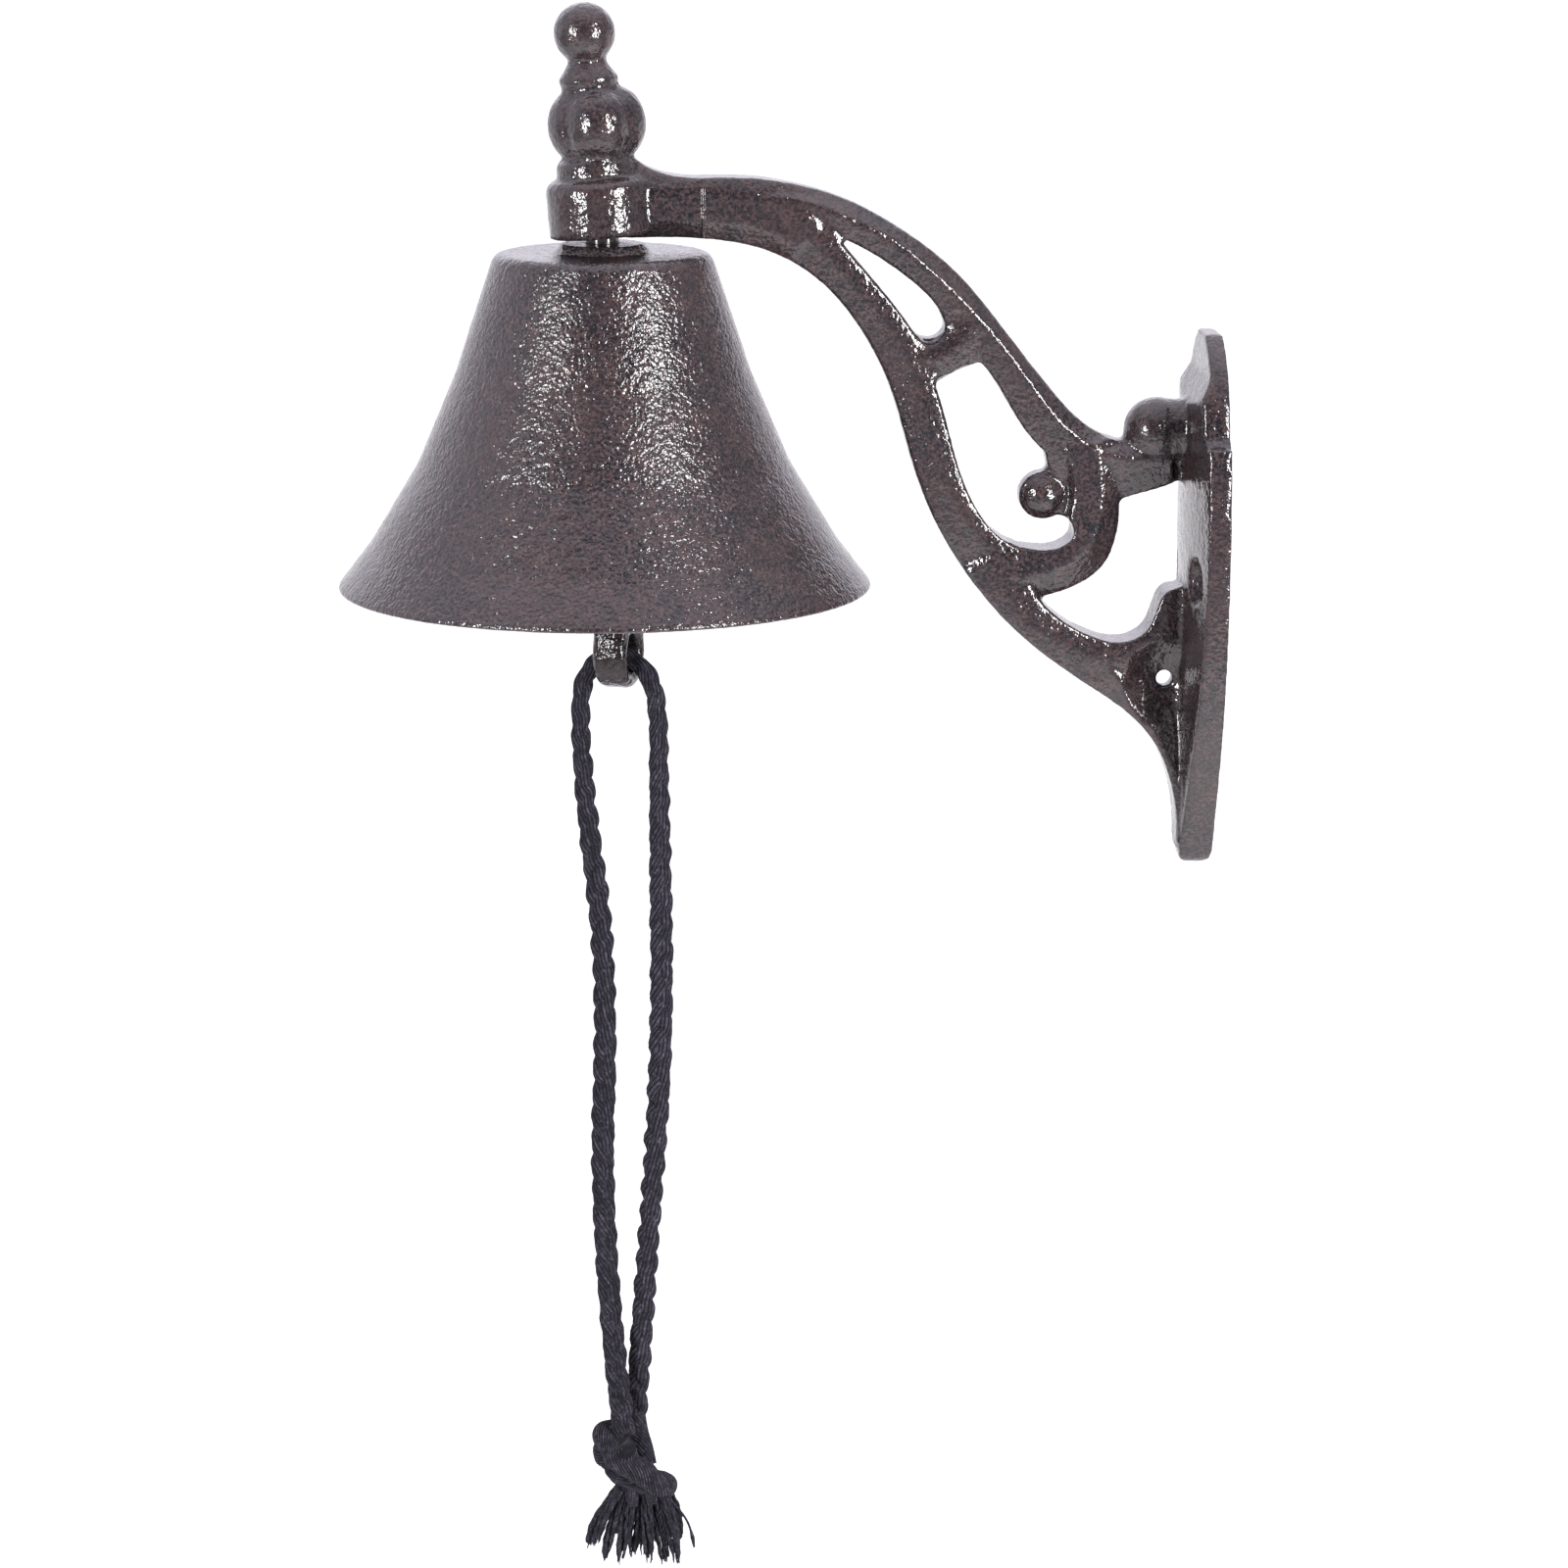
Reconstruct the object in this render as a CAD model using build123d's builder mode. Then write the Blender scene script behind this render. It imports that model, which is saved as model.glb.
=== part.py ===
from build123d import *
from math import acos, cos, pi, radians, sin, tan
import os

os.makedirs("parts", exist_ok=True)

# Millimetres, +Z up. The wall plate's back lies on X = 0 and faces +X, the arm reaches toward -X,
# and the casting is the same on both sides of Y = 0.

# Bell
AXIS_X = -131.2        # upright axis shared by the boss, the hanger, the bell and the clapper
MOUTH_Z = 1.0
BELL_HEIGHT = 71.7     # mouth to the flat of the crown
MOUTH_R = 57.3
CROWN_R = 22.9
CROWN_EDGE = 3.0       # rounding where the crown turns into the side
CROWN_T = 4.5
WALL_T = 3.5
LIP_T = 4.6
PAD_R = 10.4           # raised seat round the hole in the crown
PAD_TOP_R = 8.8
PAD_H = 1.9

# Hanger
SHANK_R = 3.5
COLLAR_R = 8.5
COLLAR_T = 3.0
EYE_WIRE_R = 1.8
EYE_RING_R = 5.0
THREAD_L = 9.0         # length of the shank inside the boss

# Clearances
SWIVEL_FIT = 0.1       # bell hole round the shank, on the radius
REST_GAP = 0.3         # between pieces that rest on each other and move
THREAD_FIT = 0.05      # shank in the boss, on the radius
CORD_GAP = 0.5         # cord over the bar of the tongue's eye

# Link and clapper
LINK_WIRE_R = 1.6
LINK_RING_R = 6.5
ROD_R = 3.0
BALL_R = 14.0
BALL_Z = 14.0
TONGUE_T = 7.6
TONGUE_R = 7.8
TONGUE_NECK_R = 4.7
TONGUE_HOLE_R = 4.1
TONGUE_HOLE_Z = -13.0
TONGUE_ROUND = 1.7
TONGUE_SHIFT = 2.8     # the tongue stands a little toward the wall
TONGUE_TURN = -20.0    # and is turned about the upright axis

# Wall plate
PLATE_T = 7.4          # at the middle of the dome
PLATE_EDGE_T = 4.8     # at the widest part of the edge
PLATE_HALF_W = 24.0
PLATE_TOP_Z = 55.0
PLATE_TOP_HALF_W = 5.5
PLATE_TOP_T = 4.0
PLATE_SLOPE_Z = 40.0   # above this the face leans back to the thin top
PLATE_THIN_Z = 46.5    # and from here up it is PLATE_TOP_T thick
PLATE_TIP_Z = -61.0
PLATE_TIP_ROUND = 2.6
SCREW_Y = 14.5
SCREW_Z = 3.0
SCREW_R = 2.75
SINK_R = 5.8

# Scroll arm
WEB_HALF_T = 2.6       # half the thickness at the edges of the rails
CREST_HALF_T = 5.8     # half the thickness along the crests
ROOT_FLAT = 3.4        # half the width of the flat front where the arm leaves the boss
KNOB = (-13.2, 33.8)
KNOB_R = 7.2
KNOB_NECK_R = 6.8      # round neck between the knob and the plate
BULB = (-37.7, 20.2)
BULB_R = 5.2
DISH = (-11.0, -20.5)
DISH_R = 15.0          # radius of the ball-shaped hollow on each side of the web
DISH_HALF_T = 2.2      # half the metal left in the middle of the hollow
PEEP = (-10.9, -19.9)
PEEP_R = 1.7

# Boss and finial, one turned shape that leans a little away from the wall
BOSS_Z = 76.2
BOSS_R = 11.2
BOSS_H = 12.4
LEAN = 4.7
BOSS_SHOULDER = 3.0
COLLAR_RING_R = 8.6
COLLAR_RING_H = 3.6
LOBES = 4              # bulging sides of the melon under the ball
LOBE_R = 6.9
LOBE_OFFSET = 3.6
LOBE_STRETCH = 1.17
MELON_SHIFT = 0.9      # the lobes stand a little toward the wall
MELON_H = 23.2         # height of the melon's middle above the boss's foot
MELON_CORE_R = 7.6     # round core behind the grooves
NECK_RING_R = 6.5
NECK_RING_H = 32.6
FINIAL_BALL_R = 6.6
FINIAL_BALL_H = 42.3
BALL_FOOT_DROP = 5.6   # from the ball's middle down to the flat it stands on

# Cord
CORD_D = 5.0
LEG_REACH = 8.8        # from the tongue's middle to each leg, along the eye's hole
KNOT_R = 7.2
KNOT_TOP = (-129.2, -192.2)
KNOT_LOW = (-125.9, -200.6)
CORD_END_Z = -188.6
TASSEL_TOP_Z = -205.5
TASSEL_BOTTOM_Z = -219.0
TASSEL_TOP_R = 4.6
TASSEL_BOTTOM_R = 9.0
TASSEL_X = -124.9

crown_z = MOUTH_Z + BELL_HEIGHT
crown_under = crown_z - CROWN_T
collar_top = crown_under - REST_GAP
eye_z = collar_top - COLLAR_T - EYE_RING_R - EYE_WIRE_R + 0.8
eye_wire_z = eye_z - EYE_RING_R
wire_pitch = EYE_WIRE_R + LINK_WIRE_R + REST_GAP
link_z = eye_wire_z + wire_pitch - LINK_RING_R
link_wire_z = link_z - LINK_RING_R
clapper_eye_z = link_wire_z + wire_pitch - EYE_RING_R
dome_r = (PLATE_HALF_W**2 + (PLATE_T - PLATE_EDGE_T) ** 2) / (2 * (PLATE_T - PLATE_EDGE_T))


def rail(crest_points, left, right, flat=0.0):
    """A rail swept along its crest line. left and right are each side's width and edge height."""
    front = [(-left[0], left[1]), (-flat, CREST_HALF_T), (flat, CREST_HALF_T), (right[0], right[1])]
    if not flat:
        del front[2]
    section = front + [(x, -y) for x, y in reversed(front)]
    with BuildPart() as strip:
        with BuildLine(Plane.XZ) as crest:
            Spline(*crest_points)
        along = crest.line % 0
        start = Plane(origin=crest.line @ 0, x_dir=along.cross(Vector(0, 1, 0)), z_dir=along)
        with BuildSketch(start):
            Polygon(*section, align=None)
        sweep(path=crest.wires()[0])
    return strip.part


# The arm seen from the side: outline less the three openings and the peep hole
with BuildSketch(Plane.XZ) as arm_face:
    with BuildLine():
        Spline((-126, 94.2), (-121.4, 90.6), (-115, 88.8), (-104, 88.6), (-92, 87.3), (-79.9, 83.7),
               (-68.4, 77.5), (-56.4, 68.1), (-45.9, 55.6), (-35.8, 42.8), (-28.4, 35.3), (-20, 31.8))
        Polyline((-20, 31.8), (-3, 31.8), (-3, -59), (-8.3, -57))
        Spline((-8.3, -57), (-9.3, -43.5), (-14, -32.5), (-28, -20.8), (-44.7, -7.6), (-55.3, 5.3),
               (-62.3, 18), (-66.8, 31), (-70.5, 43.5), (-76.8, 56), (-84, 65), (-94, 71.8),
               (-110, 75.5), (-119, 75.9), (-128, 75.7))
        Polyline((-128, 75.7), (-128, 94.2), (-126, 94.2))
    make_face()
    with BuildLine():
        Spline((-81.9, 76.1), (-72.8, 71.2), (-65.8, 66.1), (-60.6, 60.6), (-59, 56.4))
        ThreePointArc((-59, 56.4), (-61.9, 54.2), (-65.6, 55.8))
        Spline((-65.6, 55.8), (-70.9, 63), (-76.8, 70), (-81.9, 76.1))
    make_face(mode=Mode.SUBTRACT)
    with BuildLine():
        Spline((-60.9, 44.5), (-56.6, 46.8), (-51.5, 49.1))
        Spline((-51.5, 49.1), (-48.8, 45.7), (-44.1, 37.9), (-37.3, 29.6))
        Spline((-37.3, 29.6), (-36.9, 26.6), (-34.2, 22))
        Spline((-34.2, 22), (-33.2, 19), (-34.7, 15.8))
        Spline((-34.7, 15.8), (-31.8, 14.5), (-31.3, 12), (-33.6, 9.7), (-40.4, 9.2), (-46.6, 11.5),
               (-51.7, 17.4), (-55.5, 25.8), (-58.2, 35.4), (-60.9, 44.5))
    make_face(mode=Mode.SUBTRACT)
    with BuildLine():
        Spline((-3, 24.8), (-9, 22.9), (-15.1, 21), (-21.2, 19.2))
        Spline((-21.2, 19.2), (-21.6, 11.7), (-24.3, 5.1), (-29.9, 0.7), (-38.4, -1.8))
        Spline((-38.4, -1.8), (-32.7, -6.9), (-26, -10.3), (-20.5, -11.3), (-15.4, -9), (-13.2, -4.2),
               (-11.4, -0.7), (-7.1, 0.6), (-3, 0.6))
        Line((-3, 0.6), (-3, 24.8))
    make_face(mode=Mode.SUBTRACT)
    with Locations(BULB):
        Circle(BULB_R)
    with Locations(PEEP):
        Circle(PEEP_R, mode=Mode.SUBTRACT)

# Rails: each crest line from the boss outward or round a scroll, then how the faces fall to its
# left and right, looking along it
strips = [
    rail([(-126, 82.8), (-108, 82.6), (-98, 81.2), (-88, 76)], (9, 2.6), (9, 2.6), ROOT_FLAT),
    rail(
        [(-99, 81.6), (-93.2, 79.4), (-87, 75.4), (-78.8, 66.7), (-71.1, 57.5), (-66.6, 49.6), (-64, 41.7),
         (-61.4, 32.8), (-58.2, 23), (-53.6, 14.6), (-46.5, 7.2), (-42, 2.4)],
        (8.5, 3.1), (4.2, 5.25),
    ),
    rail(
        [(-100, 84.6), (-88, 83.2), (-78.2, 79.4), (-69.9, 75), (-60.8, 67.6), (-54.5, 61.5), (-48.2, 54.5),
         (-41.9, 46.3), (-37, 39.6), (-31.3, 33.6), (-26.2, 30.4), (-20, 28.8), (-10, 28.6)],
        (9, 3.3), (2.9, 2.4),
    ),
    rail([(-67.6, 52.2), (-65, 50.7), (-61.1, 50.2), (-57, 52.6), (-52.4, 58)], (4.4, 4.4), (3.2, 4.6)),
    rail([(-27, 32), (-25.4, 24), (-26, 14.8), (-29.2, 8.4), (-35.5, 4.4), (-45, 3.2)], (6.4, 5.3), (4.8, 3)),
    rail(
        [(-49.4, 7.2), (-46.1, 0.8), (-42, -5), (-36.4, -9.7), (-30.4, -12.9), (-23.7, -15), (-17.6, -14),
         (-13, -10), (-11, -4.5), (-10.6, 0.5)],
        (12, 3.2), (5.2, 5.3),
    ),
    rail([(-22.6, -17.6), (-16.9, -24.9), (-12.2, -32.4), (-7.8, -43), (-6, -56)], (6, 2.6), (5.6, 2.4)),
]

with BuildPart() as relief:
    for strip in strips:
        add(strip)

with BuildPart() as rails:
    extrude(arm_face.sketch, amount=CREST_HALF_T + 1, both=True)
    add(relief.part, mode=Mode.INTERSECT)

# Wall plate: its outline, cut to a shallow dome and to the thin top
with BuildPart() as plate:
    with BuildSketch(Plane.YZ):
        with BuildLine():
            Line((0, PLATE_TOP_Z), (PLATE_TOP_HALF_W, PLATE_TOP_Z))
            ThreePointArc((PLATE_TOP_HALF_W, PLATE_TOP_Z), (13.8, 49), (18.6, 41))
            Line((18.6, 41), (19.4, 35.4))
            ThreePointArc((19.4, 35.4), (20.7, 33.5), (23, 32.6))
            Spline((23, 32.6), (PLATE_HALF_W, 18), (23, -4), (17.6, -28), (9.4, -47), (4.4, -57.5))
            ThreePointArc((4.4, -57.5), (2.6, -60), (0, PLATE_TIP_Z))
            mirror(about=Plane.YZ)
        make_face()
    extrude(amount=-PLATE_T)
    with BuildSketch(Plane.XZ) as plate_side:
        Polygon(
            (0, PLATE_TIP_Z), (-PLATE_T, PLATE_TIP_Z), (-PLATE_T, PLATE_SLOPE_Z),
            (-PLATE_TOP_T, PLATE_THIN_Z), (-PLATE_TOP_T, PLATE_TOP_Z), (0, PLATE_TOP_Z), align=None,
        )
        fillet(plate_side.vertices().sort_by(Axis.Y)[:2], PLATE_TIP_ROUND)
    extrude(amount=PLATE_HALF_W, both=True, mode=Mode.INTERSECT)
    with Locations((dome_r - PLATE_T, 0, 0)):
        Cylinder(dome_r, 6 * PLATE_HALF_W, mode=Mode.INTERSECT)

# Boss and finial
lean_sin, lean_cos = sin(radians(LEAN)), cos(radians(LEAN))
finial_axis = Axis((AXIS_X, 0, BOSS_Z), (-lean_sin, 0, lean_cos))
finial_plane = Plane(origin=(AXIS_X, 0, BOSS_Z), x_dir=(lean_cos, 0, lean_sin), z_dir=(0, -1, 0))
lobe_plane = Plane(origin=(AXIS_X, 0, BOSS_Z), x_dir=(lean_cos, 0, lean_sin), z_dir=(-lean_sin, 0, lean_cos))

with BuildPart() as lobe:
    Sphere(LOBE_R)
    scale(by=(1, 1, LOBE_STRETCH))

with BuildPart() as finial:
    melon_half_h = LOBE_R * LOBE_STRETCH
    collar_top_h = BOSS_H + COLLAR_RING_H
    ball_foot_h = FINIAL_BALL_H - BALL_FOOT_DROP
    ball_foot_r = (FINIAL_BALL_R**2 - BALL_FOOT_DROP**2) ** 0.5
    with BuildSketch(finial_plane):
        with BuildLine():
            Polyline((0, FINIAL_BALL_H + FINIAL_BALL_R), (0, 0), (BOSS_R - 0.4, 0))
            ThreePointArc((BOSS_R - 0.4, 0), (BOSS_R - 0.12, 0.12), (BOSS_R, 0.4))
            Line((BOSS_R, 0.4), (BOSS_R, BOSS_H - BOSS_SHOULDER))
            ThreePointArc(
                (BOSS_R, BOSS_H - BOSS_SHOULDER), (BOSS_R - 0.5, BOSS_H - 1.2), (COLLAR_RING_R - 0.5, BOSS_H)
            )
            ThreePointArc(
                (COLLAR_RING_R - 0.5, BOSS_H), (COLLAR_RING_R, BOSS_H + COLLAR_RING_H / 2),
                (COLLAR_RING_R - 0.6, collar_top_h),
            )
            Spline(
                (COLLAR_RING_R - 0.6, collar_top_h), (MELON_CORE_R - 0.6, MELON_H - melon_half_h + 1.4),
                (MELON_CORE_R, MELON_H), (NECK_RING_R - 0.6, MELON_H + melon_half_h - 0.6),
                (NECK_RING_R - 0.5, NECK_RING_H - 0.6),
            )
            ThreePointArc(
                (NECK_RING_R - 0.5, NECK_RING_H - 0.6), (NECK_RING_R, NECK_RING_H),
                (NECK_RING_R - 0.5, NECK_RING_H + 0.8),
            )
            Line((NECK_RING_R - 0.5, NECK_RING_H + 0.8), (ball_foot_r + 0.9, ball_foot_h - 0.8))
            Line((ball_foot_r + 0.9, ball_foot_h - 0.8), (ball_foot_r, ball_foot_h))
            ThreePointArc(
                (ball_foot_r, ball_foot_h), (FINIAL_BALL_R, FINIAL_BALL_H), (0, FINIAL_BALL_H + FINIAL_BALL_R)
            )
        make_face()
    revolve(axis=finial_axis)
    with Locations(lobe_plane.offset(MELON_H)):
        with Locations((MELON_SHIFT, 0)):
            with PolarLocations(LOBE_OFFSET, LOBES):
                add(lobe.part)

with BuildPart() as bracket:
    # Scroll arm: a web as thin as the rails' edges, the rails, and the two round scroll ends
    extrude(arm_face.sketch, amount=WEB_HALF_T, both=True)
    add(rails.part)
    with Locations((KNOB[0], 0, KNOB[1])):
        Sphere(KNOB_R)
    with Locations(Plane(origin=(KNOB[0], 0, KNOB[1]), z_dir=(1, 0, 0))):
        Cylinder(KNOB_NECK_R, -KNOB[0] - 2, align=(Align.CENTER, Align.CENTER, Align.MIN))
    with Locations((BULB[0], 0, BULB[1])):
        Sphere(BULB_R)
    with Locations(*[(DISH[0], side * (DISH_HALF_T + DISH_R), DISH[1]) for side in (-1, 1)]):
        Sphere(DISH_R, mode=Mode.SUBTRACT)
    add(plate.part)
    add(finial.part)
    sink_top_r = SINK_R + SCREW_Y**2 / (2 * dome_r)
    with Locations(*[Plane(origin=(-PLATE_T, y, SCREW_Z), z_dir=(-1, 0, 0)) for y in (-SCREW_Y, SCREW_Y)]):
        CounterSinkHole(SCREW_R, sink_top_r, depth=PLATE_T + 1)
    with Locations((AXIS_X, 0, BOSS_Z - 1)):
        Cylinder(
            SHANK_R + THREAD_FIT, THREAD_L + 1, align=(Align.CENTER, Align.CENTER, Align.MIN), mode=Mode.SUBTRACT
        )

with BuildPart() as bell:
    shoulder_z = crown_z - CROWN_EDGE
    side_top = (CROWN_R, shoulder_z)
    side_mid = (31.5, 47)
    side_low = (49.9, 11)
    with BuildSketch(Plane(origin=(AXIS_X, 0, 0), x_dir=(1, 0, 0), z_dir=(0, -1, 0))):
        with BuildLine():
            hole_r = SHANK_R + SWIVEL_FIT
            Polyline(
                (hole_r, crown_under), (hole_r, crown_z + PAD_H), (PAD_TOP_R, crown_z + PAD_H),
                (PAD_R, crown_z), (CROWN_R - CROWN_EDGE, crown_z),
            )
            ThreePointArc(
                (CROWN_R - CROWN_EDGE, crown_z), (CROWN_R - 0.8, crown_z - 0.9), side_top
            )
            Line(side_top, side_mid)
            ThreePointArc(side_mid, (39.6, 28.0), side_low)
            Line(side_low, (MOUTH_R, MOUTH_Z + 0.9))
            Polyline((MOUTH_R, MOUTH_Z + 0.9), (MOUTH_R - 0.6, MOUTH_Z), (MOUTH_R - LIP_T, MOUTH_Z))
            Line((MOUTH_R - LIP_T, MOUTH_Z), (side_low[0] - LIP_T, side_low[1]))
            ThreePointArc(
                (side_low[0] - LIP_T, side_low[1]), (39.6 - WALL_T - 0.4, 28.0), (side_mid[0] - WALL_T, side_mid[1])
            )
            Line((side_mid[0] - WALL_T, side_mid[1]), (CROWN_R - WALL_T, shoulder_z - CROWN_EDGE))
            ThreePointArc(
                (CROWN_R - WALL_T, shoulder_z - CROWN_EDGE), (CROWN_R - WALL_T - 0.7, crown_under - 0.7),
                (CROWN_R - WALL_T - 2.2, crown_under),
            )
            Line((CROWN_R - WALL_T - 2.2, crown_under), (hole_r, crown_under))
        make_face()
    revolve(axis=Axis((AXIS_X, 0, 0), (0, 0, 1)))

with BuildPart() as hanger:
    shank_top = BOSS_Z + THREAD_L
    with Locations((AXIS_X, 0, collar_top)):
        Cylinder(SHANK_R, shank_top - collar_top, align=(Align.CENTER, Align.CENTER, Align.MIN))
        Cylinder(COLLAR_R, COLLAR_T, align=(Align.CENTER, Align.CENTER, Align.MAX))
    with Locations(Plane(origin=(AXIS_X, 0, eye_z), z_dir=(1, 0, 0))):
        Torus(EYE_RING_R, EYE_WIRE_R)

with BuildPart() as link:
    with Locations(Plane(origin=(AXIS_X, 0, link_z), z_dir=(0, -1, 0))):
        Torus(LINK_RING_R, LINK_WIRE_R)

# The tongue below the ball, an eye that the cord runs through
turn = radians(TONGUE_TURN)
tongue_x = AXIS_X + TONGUE_SHIFT
tongue_plane = Plane(
    origin=(tongue_x, 0, TONGUE_HOLE_Z), x_dir=(-sin(turn), cos(turn), 0), z_dir=(cos(turn), sin(turn), 0)
)
with BuildPart() as tongue:
    neck_top = BALL_Z - TONGUE_HOLE_Z - BALL_R + 5
    with BuildSketch(tongue_plane):
        Circle(TONGUE_R)
        with Locations((0, neck_top)):
            Rectangle(2 * TONGUE_NECK_R, 1)
        make_hull()
        Circle(TONGUE_HOLE_R, mode=Mode.SUBTRACT)
    extrude(amount=TONGUE_T / 2, both=True)
    buried = tongue.faces().sort_by(Axis.Z)[-1].edges()
    across = Axis(tongue_plane.origin, tongue_plane.z_dir)
    rims = tongue.faces().sort_by(across)[-1].edges() + tongue.faces().sort_by(across)[0].edges()
    fillet([edge for edge in rims if edge not in buried], TONGUE_ROUND)

with BuildPart() as clapper:
    with Locations(Plane(origin=(AXIS_X, 0, clapper_eye_z), z_dir=(1, 0, 0))):
        Torus(EYE_RING_R, EYE_WIRE_R)
    rod_top = clapper_eye_z - EYE_RING_R
    with Locations((AXIS_X, 0, BALL_Z)):
        Sphere(BALL_R)
        Cone(ROD_R + 1, ROD_R - 0.6, rod_top - BALL_Z, align=(Align.CENTER, Align.CENTER, Align.MIN))
    add(tongue.part)

# Cord: one length, up the left leg, through the tongue's hole and down the right leg
cord_z = TONGUE_HOLE_Z - TONGUE_HOLE_R + CORD_GAP + CORD_D / 2
cord_route = [
    (-128.4, -2.8, CORD_END_Z), (-133.7, 0.4, -143), (-131, 2.2, -84), (-136.5, 2.8, -41),
    (tongue_x - LEG_REACH * cos(turn), -LEG_REACH * sin(turn), cord_z),
    (tongue_x + LEG_REACH * cos(turn), LEG_REACH * sin(turn), cord_z),
    (-119.9, -2.6, -46), (-119.4, -1.6, -97), (-122.5, 0.2, -142), (-125.9, 2.8, CORD_END_Z),
]


def bend_radii(route):
    """Radii that let each bend take up 0.45 of its shorter neighbour."""
    points = [Vector(*p) for p in route]
    radii = []
    for before, at, after in zip(points, points[1:], points[2:]):
        arriving = at - before
        leaving = after - at
        turn = acos(max(-1, min(1, arriving.normalized().dot(leaving.normalized()))))
        radii.append(0.45 * min(arriving.length, leaving.length) / tan(turn / 2))
    return radii


cord_radii = bend_radii(cord_route)
with BuildPart() as cord:
    with BuildLine() as cord_line:
        FilletPolyline(*cord_route, radius=cord_radii)
    cord_path = cord_line.wires()[0]
    with BuildSketch(Plane(origin=cord_path @ 0, z_dir=cord_path % 0)):
        Circle(CORD_D / 2)
    sweep(path=cord_path)

with BuildPart() as cord_knot:
    with Locations((KNOT_TOP[0], 0, KNOT_TOP[1]), (KNOT_LOW[0], 0, KNOT_LOW[1])):
        Sphere(KNOT_R)

with BuildPart() as cord_tassel:
    with Locations((TASSEL_X, 0, TASSEL_BOTTOM_Z)):
        Cone(
            TASSEL_BOTTOM_R, TASSEL_TOP_R, TASSEL_TOP_Z - TASSEL_BOTTOM_Z,
            align=(Align.CENTER, Align.CENTER, Align.MIN),
        )

print("cord length", round(cord_path.length, 1))
print("cord radii", [round(r, 1) for r in cord_radii])
print("cord volume share", round(cord.part.volume / (pi * CORD_D**2 / 4 * cord_path.length), 4))

pieces = {
    "bracket": bracket, "bell": bell, "hanger": hanger, "link": link, "clapper": clapper,
    "cord": cord, "cord_knot": cord_knot, "cord_tassel": cord_tassel,
}
for name, piece in pieces.items():
    piece.part.label = name
    print(name, "solids", len(piece.part.solids()), "volume", round(piece.part.volume))
    export_step(piece.part, f"parts/{name}.step")
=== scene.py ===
import math

import bpy
import numpy as np
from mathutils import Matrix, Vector, noise


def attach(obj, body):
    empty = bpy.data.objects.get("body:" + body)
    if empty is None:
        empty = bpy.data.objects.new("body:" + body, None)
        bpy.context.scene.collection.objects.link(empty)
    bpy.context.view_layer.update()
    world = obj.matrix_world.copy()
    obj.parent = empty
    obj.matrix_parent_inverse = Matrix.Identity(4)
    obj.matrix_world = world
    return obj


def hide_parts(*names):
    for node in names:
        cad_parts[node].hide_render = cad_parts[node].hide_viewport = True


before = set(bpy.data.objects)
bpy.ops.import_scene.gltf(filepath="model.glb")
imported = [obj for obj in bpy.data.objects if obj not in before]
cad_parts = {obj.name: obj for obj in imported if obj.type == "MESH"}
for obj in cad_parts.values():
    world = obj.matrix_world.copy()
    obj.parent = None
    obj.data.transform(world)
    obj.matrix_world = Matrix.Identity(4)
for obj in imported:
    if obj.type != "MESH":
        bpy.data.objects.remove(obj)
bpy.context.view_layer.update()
scene = bpy.context.scene

# Lengths are in metres, except where a comment says mm
MM = 0.001

# Cord: the eye in the clapper's tongue and the two legs that hang from it, on the solid's route
EYE = (-0.1284, 0, -0.0141)
LEFT_LEG = [
    EYE, (-0.136669, 0.00301, -0.0141), (-0.1365, 0.0028, -0.041), (-0.131, 0.0022, -0.084),
    (-0.1337, 0.0004, -0.143), (-0.1284, -0.0028, -0.1886),
]
RIGHT_LEG = [
    EYE, (-0.120131, -0.00301, -0.0141), (-0.1199, -0.0026, -0.046), (-0.1194, -0.0016, -0.097),
    (-0.1225, 0.0002, -0.142), (-0.1259, 0.0028, -0.1886),
]
ROUTE_STEPS = 120

# Plait: three strands, each wound from yarns that show as ridges
STRAND_R = 0.00172
STRAND_RING = 44          # points round a strand
STRAND_YARNS = 11
STRAND_GROOVE = 0.26      # depth between two yarns, as a share of the strand's radius
STRAND_TWIST = 290        # radians per metre
PLAIT_REACH = 0.00090     # how far a strand swings to each side
PLAIT_DEPTH = 0.00050     # and to the front and back
PLAIT_PITCH = 0.0172

# Knot
KNOT_MID = Vector((-0.1270, -0.0016, -0.1968))
KNOT_STRAND_R = 0.0030
KNOT_APART = 0.0021       # from the knot's own line to each of its two strands
KNOT_GROOVE = 0.17
TUCK = [
    (-0.1262, 0.0026, -0.1850), (-0.1257, 0.0020, -0.1895),
    (-0.1243, 0.0, -0.1935), (-0.1238, -0.001, -0.1965),
]
TUCK_R = 0.0026

# Tassel, in mm: each lock of yarn's tip as x and z, the row of their roots, and a lock's radius
TIPS = [
    (-136.3, -215.0), (-134.9, -216.6), (-133.1, -218.0), (-131.2, -216.4), (-129.7, -218.2),
    (-128.2, -216.8), (-126.6, -217.4), (-124.7, -219.6), (-123.2, -217.8), (-121.4, -216.9),
    (-119.7, -219.7), (-118.3, -217.4), (-117.0, -218.5), (-115.8, -216.8),
]
ROOT_X = -129.6
ROOT_SPREAD = 9.8
ROOT_Y = (-3.2, 1.8, -2.0, 3.0)
ROOT_Z = -201.6
LOCK_R = 0.78
LOCK_YARNS = 9
YARN_POINTS = 30
YARN_RING = 10

# Loose yarn that curls away to the right
STRAY = [
    (-0.1191, 0.001, -0.2040), (-0.1172, 0.001, -0.2068), (-0.1146, 0.0, -0.2096),
    (-0.1133, -0.001, -0.2134), (-0.1130, -0.001, -0.2160),
]

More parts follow.
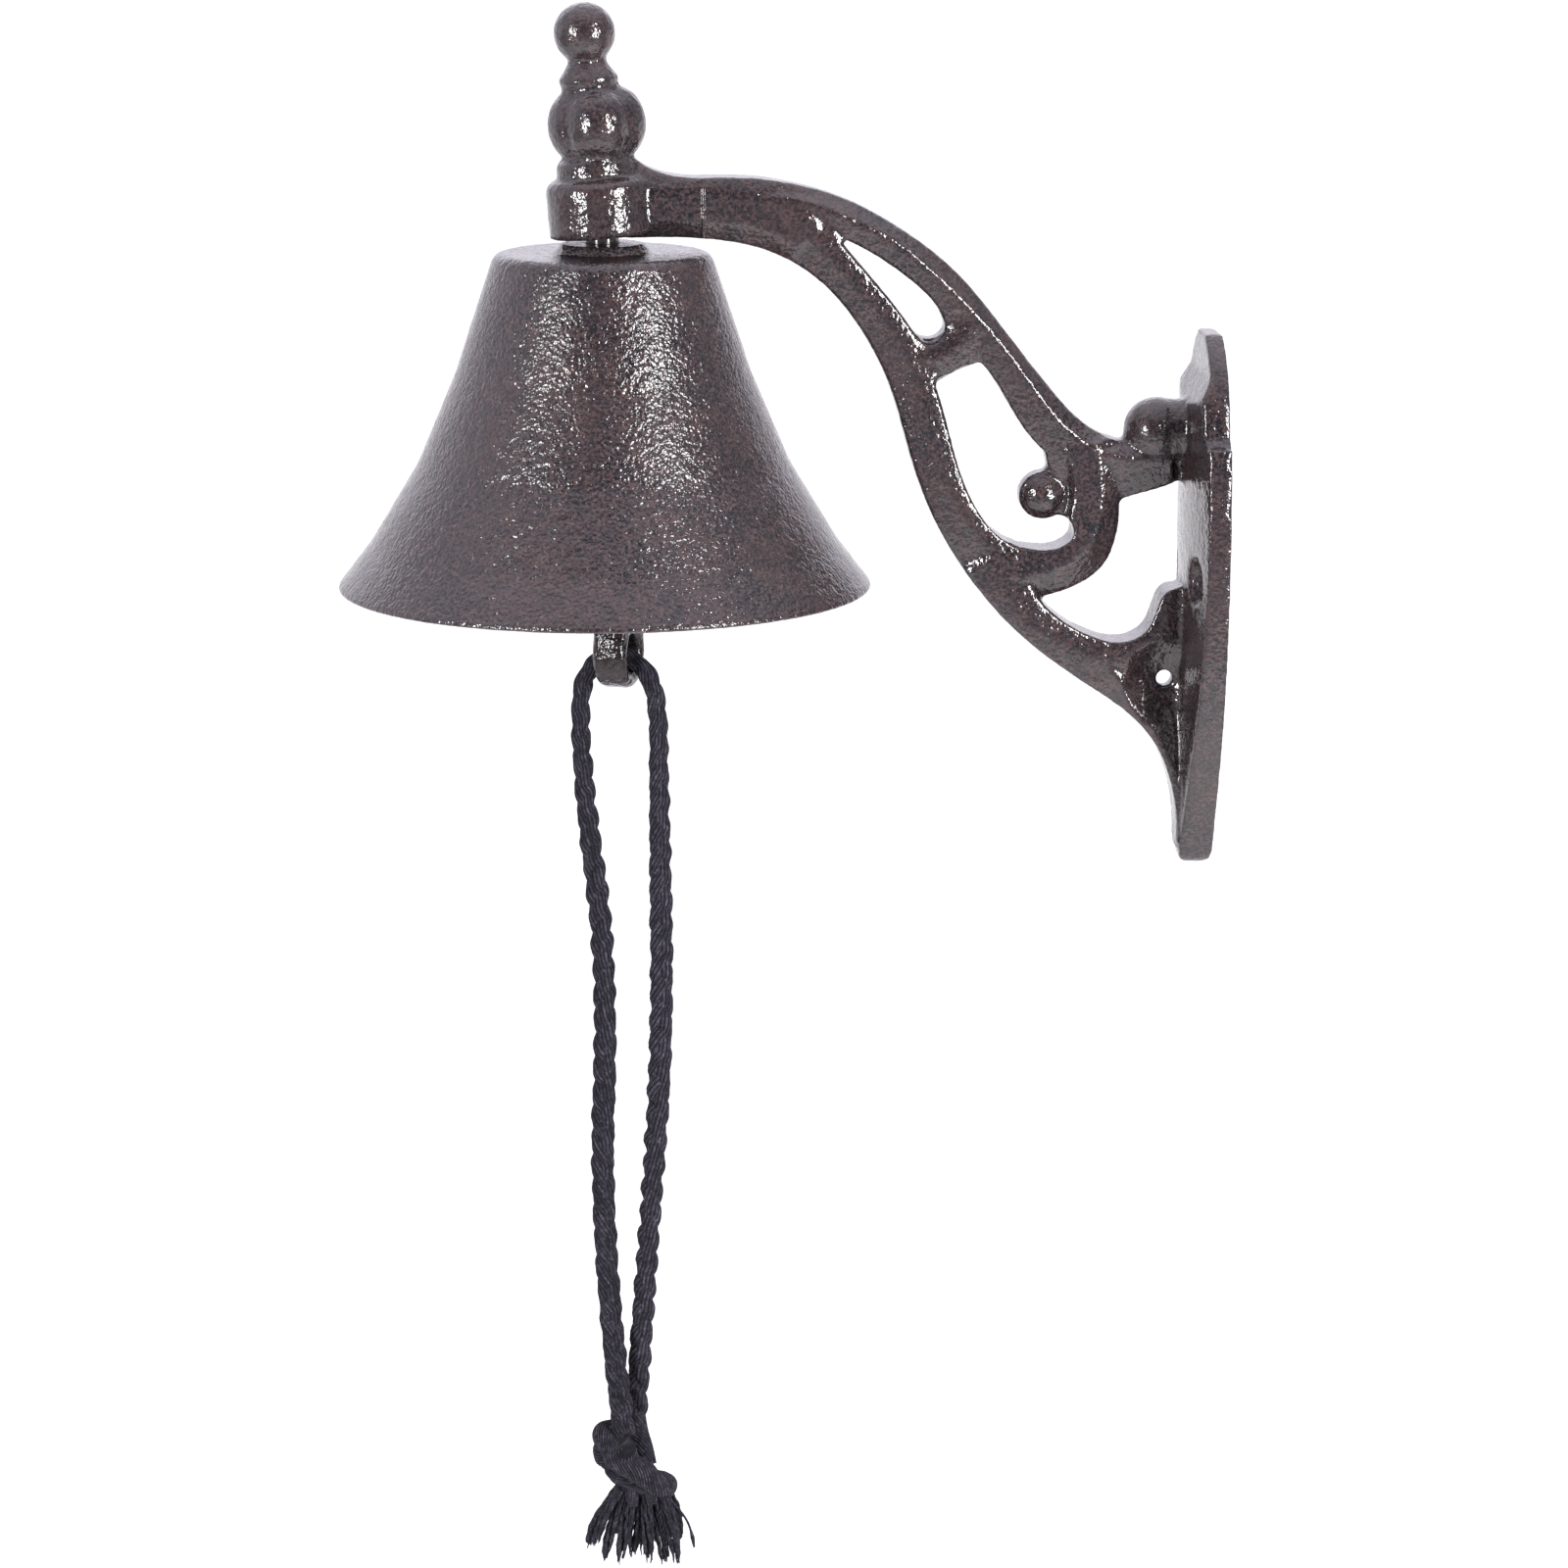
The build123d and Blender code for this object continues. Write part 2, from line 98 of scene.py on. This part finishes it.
# Bell: its upright axis, and its closed outline with each corner's distance from the axis, height
# and rounding in mm
AXIS_X = -0.1312
BELL_OUTLINE = [
    (3.6, 74.6, 0.4), (8.8, 74.6, 0.8), (10.4, 72.7, 0.8), (22.9, 72.7, 3.2), (31.5, 47.0, 30.0),
    (39.6, 28.0, 22.0), (49.9, 11.0, 16.0), (57.5, 1.1, 1.0), (52.7, 1.1, 0.8),
    (45.3, 11.0, 14.0), (35.7, 28.0, 22.0), (28.0, 47.0, 30.0), (19.4, 68.2, 2.6), (3.6, 68.2, 0.4),
]
BELL_GAP = 0.9            # longest step along the outline, in mm
BELL_TURNS = 320

# Bracket: where the mould's halves left a thin ridge round the arm
SEAM_X = -0.1102


def placed(obj):
    scene.collection.objects.link(obj)
    return obj


def mesh_object(name, verts, faces):
    mesh = bpy.data.meshes.new(name)
    mesh.from_pydata([tuple(v) for v in verts], [], [tuple(f) for f in faces])
    mesh.validate()
    mesh.update()
    mesh.shade_smooth()
    return placed(bpy.data.objects.new(name, mesh))


# Camera
camera_data = bpy.data.cameras.new("camera")
camera_data.lens = 117
camera_data.sensor_width = 36
camera_data.clip_end = 100
camera = placed(bpy.data.objects.new("camera", camera_data))
camera.location = (-0.15856, -1.07364, 0.18997)
camera_view = Vector((0.05967, 0.97559, -0.21132))
camera.rotation_euler = camera_view.to_track_quat("-Z", "Y").to_euler()
scene.camera = camera
scene.view_settings.view_transform = "Standard"


# Cord
def smooth_line(control, steps):
    """Points on the NURBS spline that has these control points."""
    curve = bpy.data.curves.new("route", "CURVE")
    curve.dimensions = "3D"
    curve.resolution_u = steps
    spline = curve.splines.new("NURBS")
    spline.points.add(len(control) - 1)
    for point, place in zip(spline.points, control):
        point.co = (*place, 1)
    spline.order_u = 3
    spline.use_endpoint_u = True
    holder = placed(bpy.data.objects.new("route", curve))
    mesh = bpy.data.meshes.new_from_object(holder)
    points = [v.co.copy() for v in mesh.vertices]
    bpy.data.objects.remove(holder)
    bpy.data.curves.remove(curve)
    bpy.data.meshes.remove(mesh)
    return points


def carried_frames(points, side):
    """At each point a side direction square to the line, carried along it without turning."""
    line = np.array(points, float)
    along = np.gradient(line, axis=0)
    along /= np.linalg.norm(along, axis=1)[:, None]
    sides = np.zeros_like(line)
    last = np.array(side, float)
    for i, t in enumerate(along):
        last = last - t * last.dot(t)
        last /= np.linalg.norm(last)
        sides[i] = last
    return line, along, sides, np.cross(along, sides)


def run_length(line):
    """How far along the line each of its points lies."""
    return np.concatenate([[0], np.cumsum(np.linalg.norm(np.diff(line, axis=0), axis=1))])


tone_draws = np.random.default_rng(3)


def tube(points, radius, ring, ridges=0, groove=0.0, twist=0.0, squash=1.0, side=(0, 1, 0)):
    """Vertices, faces and yarn tones of a closed tube along a line, with yarns that wind round it.
    The tones carry painted shade, falling towards black in the grooves between yarns.
    """
    line, _, sides, ups = carried_frames(points, side)
    radius = np.broadcast_to(radius, len(line))
    angle = np.linspace(0, 2 * math.pi, ring, endpoint=False)
    wound = ridges * (angle[None, :] + twist * run_length(line)[:, None])
    wave = np.abs(np.sin(0.5 * wound)) if ridges else np.ones((len(line), ring))
    reach = radius[:, None] * (1 - groove * (1 - wave) ** 2)
    yarn = np.floor(wound / (2 * math.pi)).astype(int) % max(ridges, 1)
    yarn_tones = tone_draws.uniform(0.45, 1.0, max(ridges, 1))
    whole_tone = tone_draws.uniform(0.8, 1.0)
    # Painted shade: the tone falls towards black in the grooves between yarns, times a random tone
    # for each yarn and for the tube.
    groove_shade_and_tone = wave**1.5 * yarn_tones[yarn] * whole_tone
    verts = (
        line[:, None, :]
        + (reach * np.cos(angle))[:, :, None] * sides[:, None, :]
        + (reach * squash * np.sin(angle))[:, :, None] * ups[:, None, :]
    )
    rows, cols = np.meshgrid(np.arange(len(line) - 1), np.arange(ring), indexing="ij")
    here = rows * ring
    beyond = here + ring
    after = (cols + 1) % ring
    quads = np.stack([here + cols, here + after, beyond + after, beyond + cols], axis=-1)
    faces = [tuple(quad) for quad in quads.reshape(-1, 4).tolist()]
    faces.append(tuple(range(ring - 1, -1, -1)))
    faces.append(tuple(range((len(line) - 1) * ring, len(line) * ring)))
    return verts.reshape(-1, 3), faces, groove_shade_and_tone.ravel()


def cord_mesh(name, tubes):
    """One object from several tubes, with each vertex's yarn tone and painted groove shade kept as an
    attribute.
    """
    verts, faces, start = [], [], 0
    for tube_verts, tube_faces, _ in tubes:
        verts.extend(tube_verts.tolist())
        faces.extend(tuple(i + start for i in face) for face in tube_faces)
        start += len(tube_verts)
    obj = mesh_object(name, verts, faces)
    groove_shades_and_tones = np.concatenate([groove_shade_and_tone for _, _, groove_shade_and_tone in tubes]).astype(np.float32)
    attribute = obj.data.attributes.new("yarn_tone_and_groove_shade", "FLOAT", "POINT")
    attribute.data.foreach_set("value", groove_shades_and_tones)
    return obj


def plait(points, way):
    """Three strands plaited flat along a line. way is 1 or -1, for the two directions of a plait."""
    line, along, sides, ups = carried_frames(points, (0, 0, 1))
    run = run_length(line)
    lean = way * (0.45 * np.sin(run * 34) + 0.2 * np.sin(run * 83 + 1))
    wide = np.cos(lean)[:, None] * sides + np.sin(lean)[:, None] * ups
    deep = np.cross(along, wide)
    pinch = np.interp(run, [0, 0.022, 0.06], [0.8, 0.82, 1])
    strands = []
    for k in range(3):
        step = 2 * math.pi * (way * run / PLAIT_PITCH + k / 3)
        step = step + 0.22 * np.sin(way * run * 410 + 2.1 * k)
        centre = line + (pinch * PLAIT_REACH * np.sin(step))[:, None] * wide
        centre = centre + (PLAIT_DEPTH * np.sin(2 * step))[:, None] * deep * way
        uneven = 1 + 0.05 * np.sin(way * run * 900 + 1.7 * k) + 0.03 * np.sin(run * 2300 + k)
        strands.append(tube(
            centre, pinch * STRAND_R * uneven, STRAND_RING, ridges=STRAND_YARNS,
            groove=STRAND_GROOVE, twist=way * STRAND_TWIST, side=tuple(sides[0]),
        ))
    return strands


left_line = smooth_line(LEFT_LEG, ROUTE_STEPS)
right_line = smooth_line(RIGHT_LEG, ROUTE_STEPS)
cord_left = cord_mesh("cord_left", plait(left_line, 1))
cord_right = cord_mesh("cord_right", plait(right_line, -1))


# Knot: both ends side by side in an overhand knot, and the end that is tucked in at its top
def knot_line(count):
    """The middle of the overhand knot: a trefoil curve that runs out straight at both ends."""
    t = np.linspace(-2.02, 2.02, count)
    fade = np.clip((2.35 - np.abs(t)) / 0.8, 0, 1)
    across = -(t**3 - 3 * t) * fade
    upright = t**5 - 10 * t
    front = t**4 - 4 * t**2
    return [
        KNOT_MID + Vector((0.0027 * a, -0.0016 * (f + 2), 0.00055 * u))
        for a, u, f in zip(across, upright, front)
    ]


knot_tubes = []
line, _, sides, ups = carried_frames(knot_line(260), (1, 0, 0.4))
run = np.linspace(0, 1, len(line))
for k, apart in enumerate((-KNOT_APART, KNOT_APART)):
    centre = line + apart * sides + 0.0003 * np.sin(31 * run + k)[:, None] * ups
    girth = KNOT_STRAND_R * (1 + 0.05 * np.sin(47 * run + 2 * k) + 0.03 * np.sin(113 * run + k))
    girth = girth * np.interp(run, [0, 0.05, 0.12], [0.35, 0.8, 1])
    knot_tubes.append(tube(
        centre, girth, ring=120, ridges=23, groove=KNOT_GROOVE, twist=330 * (-1) ** k,
        squash=0.92, side=tuple(sides[0]),
    ))
knot_tubes.append(tube(
    smooth_line(TUCK, 12), TUCK_R, ring=90, ridges=19, groove=KNOT_GROOVE, twist=250, side=(1, 0, 0),
))
knot = cord_mesh("cord_knot_tied", knot_tubes)

# Tassel: the frayed ends, in locks of yarn that spread below the knot. Each lock has one yarn in its
# middle and the others round it, and lengths are in mm until a yarn's tube is made.
lock_draws = np.random.default_rng(7)
yarns = []
steps = np.linspace(0, 1, YARN_POINTS)
for i, (tip_x, tip_z) in enumerate(TIPS):
    share = i / (len(TIPS) - 1)
    root = np.array([ROOT_X + ROOT_SPREAD * share, ROOT_Y[i % len(ROOT_Y)], ROOT_Z])
    tip = np.array([tip_x, 1.5 * root[1] + lock_draws.uniform(-0.6, 0.6), tip_z])
    flare = 1.0 + 0.8 * abs(2 * share - 1)
    out = 1 - (1 - steps) ** flare
    middle = root + (tip - root) * np.stack([out, out, steps], axis=1)
    for k in range(LOCK_YARNS):
        lock_r = 0 if k == LOCK_YARNS - 1 else LOCK_R
        roll = 2 * math.pi * k / (LOCK_YARNS - 1) + 1.6 * steps * lock_draws.uniform(0.1, 1.6)
        swell = lock_r * (0.9 + 0.5 * np.sin(3 * steps) - 0.35 * steps**3)
        swell = swell * lock_draws.uniform(0.7, 1.35)
        crimp = 0.10 * np.sin(steps * lock_draws.uniform(26, 40) + lock_draws.uniform(0, 6))
        path = middle.copy()
        path[:, 0] += swell * np.cos(roll) + crimp
        path[:, 1] += swell * np.sin(roll) + crimp
        keep = YARN_POINTS - lock_draws.integers(0, 6)
        thick = lock_draws.uniform(0.30, 0.42) * np.interp(steps, [0, 0.8, 1], [1, 1, 0.25])
        yarns.append(tube(
            MM * path[:keep], MM * thick[:keep], YARN_RING, ridges=3, groove=0.22, twist=1500,
        ))

# The loose yarn is thicker near its end, where it frays
stray = smooth_line(STRAY, 12)
stray_share = np.linspace(0, 1, len(stray))
stray_r = MM * np.interp(stray_share, [0, 0.7, 0.85, 1], [0.3, 0.26, 0.5, 0.25])
yarns.append(tube(stray, stray_r, YARN_RING))
tassel = cord_mesh("cord_tassel_yarns", yarns)

cord_pieces = (cord_left, cord_right, knot, tassel)
for piece in cord_pieces:
    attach(piece, "cord")
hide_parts("cord")
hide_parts("cord")
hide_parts("cord_knot")
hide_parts("cord_tassel")


# Castings
def unsettle(mesh, wave):
    """Moves each vertex inward by up to wave, in soft patches a few millimetres wide.

    The noise is never much above 0.9, so hardly any vertex moves outward.
    """
    count = len(mesh.vertices)
    place = np.zeros(count * 3)
    normal = np.zeros(count * 3, np.float32)
    mesh.vertices.foreach_get("co", place)
    mesh.vertex_normals.foreach_get("vector", normal)
    place = place.reshape(-1, 3)
    normal = normal.reshape(-1, 3)
    depth = np.array([
        0.6 * noise.noise(Vector(p * 420)) + 0.4 * noise.noise(Vector(p * 900)) for p in place
    ])
    place += normal * (wave * (depth - 0.9) / 1.9)[:, None]
    mesh.vertices.foreach_set("co", place.ravel())
    mesh.update()


def cast_skin(node, name, voxel, smoothing, wave):
    """A casting's skin over a solid: its edges worn round and its faces a little uneven."""
    skin = placed(bpy.data.objects.new(name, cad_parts[node].data.copy()))
    remesh = skin.modifiers.new("remesh", "REMESH")
    remesh.mode = "VOXEL"
    remesh.voxel_size = voxel
    smooth = skin.modifiers.new("smooth", "SMOOTH")
    smooth.factor = 0.5
    smooth.iterations = smoothing
    graph = bpy.context.evaluated_depsgraph_get()
    mesh = bpy.data.meshes.new_from_object(skin.evaluated_get(graph))
    skin.modifiers.clear()
    skin.data = mesh
    unsettle(mesh, wave)
    mesh.materials.clear()
    mesh.shade_smooth()
    return skin


bracket = cast_skin("bracket", "bracket_casting", voxel=0.00060, smoothing=4, wave=0.00018)
clapper = cast_skin("clapper", "clapper_casting", voxel=0.0005, smoothing=3, wave=0.00012)


# Bell: turned from its outline, which runs from the hole's top over the outside and the lip and
# back up the inside
def rounded(corners):
    """The closed outline with each corner rounded by a short arc."""
    points = [Vector(corner[:2]) for corner in corners]
    out = []
    for i, at in enumerate(points):
        arriving = at - points[i - 1]
        leaving = points[(i + 1) % len(points)] - at
        turn = abs(arriving.angle_signed(leaving))
        cut = min(corners[i][2] * math.tan(turn / 2), 0.49 * arriving.length, 0.49 * leaving.length)
        first = at - arriving.normalized() * cut
        last = at + leaving.normalized() * cut
        parts = 4 if cut < 2 else 12
        for k in range(parts + 1):
            s = k / parts
            out.append(first * (1 - s) ** 2 + at * 2 * s * (1 - s) + last * s**2)
    return out


def evenly(points, gap):
    """The closed outline cut into steps no longer than gap."""
    out = []
    for i, at in enumerate(points):
        after = points[(i + 1) % len(points)]
        parts = max(1, math.ceil((after - at).length / gap))
        out += [at.lerp(after, k / parts) for k in range(parts)]
    return out


def turned(outline, turns):
    """Vertices and faces of the closed outline turned round the bell's axis."""
    verts = []
    faces = []
    for i, point in enumerate(outline):
        here = i * turns
        beyond = (i + 1) % len(outline) * turns
        for k in range(turns):
            angle = 2 * math.pi * k / turns
            x = AXIS_X + MM * point.x * math.cos(angle)
            y = MM * point.x * math.sin(angle)
            verts.append((x, y, MM * point.y))
            after = (k + 1) % turns
            faces.append((here + k, beyond + k, beyond + after, here + after))
    return verts, faces


bell = mesh_object("bell_casting", *turned(evenly(rounded(BELL_OUTLINE), BELL_GAP), BELL_TURNS))
unsettle(bell.data, wave=0.00014)

for piece, node, body in (
    (bracket, "bracket", "mount"), (clapper, "clapper", "clapper"), (bell, "bell", "bell"),
):
    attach(piece, body)
    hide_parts(node)


# Materials
class Shading:
    """Adds nodes to a node tree and links them."""

    def __init__(self, tree):
        self.tree = tree

    def feed(self, socket, value):
        """Links value to the socket, or sets the socket to it."""
        if isinstance(value, bpy.types.NodeSocket):
            self.tree.links.new(value, socket)
        else:
            socket.default_value = value

    def add(self, kind, *inputs, **values):
        """A new node, with its first sockets fed from inputs and its settings from values."""
        node = self.tree.nodes.new(kind)
        for key, value in values.items():
            setattr(node, key, value)
        for value, socket in zip(inputs, node.inputs):
            self.feed(socket, value)
        return node

    def math(self, operation, *inputs):
        return self.add("ShaderNodeMath", *inputs, operation=operation).outputs[0]

    def fade(self, value, start, end, first, last):
        """Goes softly from first to last while value goes from start to end."""
        node = self.add("ShaderNodeMapRange", value, start, end, first, last)
        node.interpolation_type = "SMOOTHSTEP"
        return node.outputs[0]

    def mix(self, factor, first, second):
        node = self.add("ShaderNodeMix", factor, data_type="RGBA")
        self.feed(node.inputs[6], first)
        self.feed(node.inputs[7], second)
        return node.outputs[2]

    def mix_values(self, factor, first, second):
        node = self.add("ShaderNodeMix", factor, data_type="FLOAT")
        self.feed(node.inputs[2], first)
        self.feed(node.inputs[3], second)
        return node.outputs[0]

    def axes(self, output):
        """The X, Y and Z of a place on the surface, or of a direction."""
        return self.add("ShaderNodeSeparateXYZ", output).outputs


class Surface(Shading):
    """A material's nodes, with patterns laid out in the object's own space."""

    def __init__(self, name):
        self.material = bpy.data.materials.new(name)
        self.material.use_nodes = True
        super().__init__(self.material.node_tree)
        self.place = self.add("ShaderNodeTexCoord").outputs["Object"]

    def put(self, socket, value):
        self.feed(self.tree.nodes["Principled BSDF"].inputs[socket], value)

    def grain(self, scale, detail=2.0, rough=0.5):
        node = self.add("ShaderNodeTexNoise", self.place)
        node.inputs["Scale"].default_value = scale
        node.inputs["Detail"].default_value = detail
        node.inputs["Roughness"].default_value = rough
        return node.outputs["Fac"]

    def ramp(self, source, *stops):
        node = self.add("ShaderNodeValToRGB", source)
        while len(node.color_ramp.elements) < len(stops):
            node.color_ramp.elements.new(0.5)
        for element, (position, colour) in zip(node.color_ramp.elements, stops):
            element.position = position
            element.color = (*colour, 1)
        return node.outputs["Color"]

    def bump(self, height, distance, under=None):
        node = self.add("ShaderNodeBump")
        node.inputs["Strength"].default_value = 1.0
        node.inputs["Distance"].default_value = distance
        self.feed(node.inputs["Height"], height)
        if under is not None:
            self.feed(node.inputs["Normal"], under)
        return node.outputs["Normal"]


def grey(value):
    return (value, value, value)


BROWNS = (
    (0.34, (0.028, 0.020, 0.022)),
    (0.52, (0.043, 0.027, 0.028)),
    (0.68, (0.060, 0.035, 0.034)),
)


def iron_paint(name, peel, lift, tint, gloss=0.5, seam=False):
    """Glossy brown hammered paint over cast iron, with near-black specks.

    peel sets how fine the hammer marks are and lift how deep, and a lower tint darkens the brown.
    """
    n = Surface(name)
    stops = [(position, [tint * part for part in colour]) for position, colour in BROWNS]
    brown = n.ramp(n.grain(340, 4, 0.65), *stops)
    specks = n.ramp(n.grain(1500, 2, 0.6), (0.44, grey(0.0)), (0.54, grey(1.0)))
    patches = n.ramp(n.grain(60, 3, 0.6), (0.4, grey(0.6)), (0.62, grey(1.0)))
    dark = n.math("MULTIPLY", specks, patches)
    n.put("Base Color", n.mix(dark, brown, (0.007, 0.007, 0.009, 1)))
    n.put("Roughness", n.ramp(n.grain(420, 2), (0.3, grey(0.07)), (0.75, grey(0.16))))
    pits = n.grain(peel, 1.6, 0.5)
    swells = n.grain(peel * 0.35, 1.5, 0.5)
    normal = n.bump(pits, lift, n.bump(swells, lift * 0.9))
    if seam:
        away = n.math("ABSOLUTE", n.math("ADD", n.axes(n.place)["X"], -SEAM_X))
        normal = n.bump(n.fade(away, 0.0, 0.0005, 1.0, 0.0), 0.00025, normal)
    n.put("Normal", normal)
    n.put("IOR", 1.55)
    n.put("Specular IOR Level", gloss)
    return n.material


def cotton(name):
    """Black-blue cotton yarn with a soft nap, with painted shade that darkens the grooves between
    yarns.
    """
    n = Surface(name)
    cotton_colour = n.ramp(
        n.grain(900, 4, 0.7),
        (0.34, (0.008, 0.007, 0.011)), (0.5, (0.032, 0.028, 0.041)), (0.66, (0.085, 0.074, 0.102)),
    )
    # Painted shade: the stored tone is low in the grooves between yarns, and there the cotton is
    # mixed towards near-black.
    groove_shade_and_tone = n.add("ShaderNodeAttribute", attribute_name="yarn_tone_and_groove_shade").outputs["Fac"]
    groove_shade_and_yarn_tone = n.ramp(groove_shade_and_tone, (0.2, grey(0.08)), (0.55, grey(0.6)), (0.9, grey(1.0)))
    n.put("Base Color", n.mix(groove_shade_and_yarn_tone, (0.002, 0.002, 0.004, 1), cotton_colour))
    n.put("Roughness", n.ramp(n.grain(500, 2), (0.3, grey(0.8)), (0.7, grey(0.95))))
    n.put("Sheen Weight", 0.05)
    n.put("Sheen Roughness", 0.4)
    n.put("Specular IOR Level", 0.2)
    n.put("Normal", n.bump(n.grain(3200, 3, 0.7), 0.00010))
    return n.material


bell_paint = iron_paint("bell_paint", peel=1200, lift=0.00033, tint=0.92)
bracket_paint = iron_paint("bracket_paint", peel=1050, lift=0.00021, tint=0.86, seam=True)
clapper_paint = iron_paint("clapper_paint", peel=800, lift=0.00040, tint=0.6, gloss=0.26)
hanger_paint = iron_paint("hanger_paint", peel=900, lift=0.00004, tint=0.8)
cord_cotton = cotton("cord_cotton")

bell.data.materials.append(bell_paint)
bracket.data.materials.append(bracket_paint)
clapper.data.materials.append(clapper_paint)
for piece in cord_pieces:
    piece.data.materials.append(cord_cotton)
for node in ("hanger", "link"):
    for material_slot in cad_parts[node].material_slots:
        material_slot.material = hanger_paint

# Floor: pale and well below the bell. It glows to the camera, and in reflections mostly where it
# lies behind the bell.
FLOOR_HALF = 40
FLOOR_Z = -0.7
floor_corners = [
    (-FLOOR_HALF, -FLOOR_HALF, FLOOR_Z), (FLOOR_HALF, -FLOOR_HALF, FLOOR_Z),
    (FLOOR_HALF, FLOOR_HALF, FLOOR_Z), (-FLOOR_HALF, FLOOR_HALF, FLOOR_Z),
]
floor = mesh_object("floor", floor_corners, [(0, 1, 2, 3)])
floor_look = bpy.data.materials.new("floor")
floor_look.use_nodes = True
floor_look.node_tree.nodes.clear()
n = Shading(floor_look.node_tree)
rays = n.add("ShaderNodeLightPath").outputs
floor_place = n.axes(n.add("ShaderNodeTexCoord").outputs["Object"])
mirrored = n.math("MULTIPLY", rays["Is Glossy Ray"], n.fade(floor_place["Y"], 0.0, 1.2, 0.05, 0.8))
glow_level = n.math("MULTIPLY_ADD", rays["Is Camera Ray"], 0.6, mirrored)
pale = n.add("ShaderNodeBsdfDiffuse", (0.9, 0.9, 0.9, 1))
glow = n.add("ShaderNodeEmission")
n.feed(glow.inputs["Strength"], glow_level)
both = n.add("ShaderNodeAddShader", pale.outputs[0], glow.outputs[0])
n.add("ShaderNodeOutputMaterial", both.outputs[0])
floor.data.materials.append(floor_look)

# Surroundings: white to the camera. In reflections the back is brightest and the front is dim, the
# left is brighter than the right, and light that isn't mirrored gets half.
world = bpy.data.worlds.new("world")
scene.world = world
world.use_nodes = True
n = Shading(world.node_tree)
rays = n.add("ShaderNodeLightPath").outputs
way = n.axes(n.add("ShaderNodeTexCoord").outputs["Generated"])
front = n.fade(way["Y"], -0.9, 0.1, 0.12, 1.0)
behind = n.fade(way["Y"], 0.5, 0.95, 0.0, 1.4)
risen = n.fade(way["Z"], 0.05, 0.35, 0.2, 1.0)
left = n.fade(way["X"], -0.6, -1.0, 0.0, 0.5)
above = n.fade(way["Z"], 0.5, 0.9, 0.0, 0.9)
right = n.fade(way["X"], 0.3, 0.9, 0.0, -0.35)
level = front
for more in (n.math("MULTIPLY", behind, risen), left, right, above):
    level = n.math("ADD", level, more)
gloss_share = n.add("ShaderNodeMapRange", rays["Is Glossy Ray"], 0.0, 1.0, 0.5, 1.0).outputs[0]
lighting = n.math("MULTIPLY", level, gloss_share)
seen = n.math("MAXIMUM", rays["Is Camera Ray"], rays["Is Transmission Ray"])
sky = world.node_tree.nodes["Background"]
n.feed(sky.inputs["Strength"], n.mix_values(seen, lighting, 1.0))
n.feed(sky.inputs["Color"], n.mix(seen, (0.93, 0.90, 1.0, 1), (1, 1, 1, 1)))

# Lamps: two soft boxes in front, to the left and to the right
BELL_MIDDLE = Vector((-0.11, 0, 0.05))
CAMERA_BEARING = -93.5
BOX_DISTANCE = 1.3


def soft_box(name, turn, low, high, width, power):
    """A lamp seen from the bell at turn degrees right of the camera, from low to high degrees up."""
    lift = math.radians((low + high) / 2)
    lamp_data = bpy.data.lights.new(name, "AREA")
    lamp_data.shape = "RECTANGLE"
    lamp_data.size = width
    lamp_data.size_y = 2 * BOX_DISTANCE * math.tan(math.radians((high - low) / 2))
    lamp_data.energy = power
    lamp = placed(bpy.data.objects.new(name, lamp_data))
    bearing = math.radians(CAMERA_BEARING + turn)
    level_share = math.cos(lift)
    away = Vector((math.cos(bearing) * level_share, math.sin(bearing) * level_share, math.sin(lift)))
    lamp.location = BELL_MIDDLE + away * BOX_DISTANCE
    lamp.rotation_euler = (-away).to_track_quat("-Z", "Y").to_euler()


soft_box("left_box", turn=-42, low=-6, high=20, width=0.22, power=20)
soft_box("right_box", turn=44, low=-6, high=28, width=0.34, power=32)
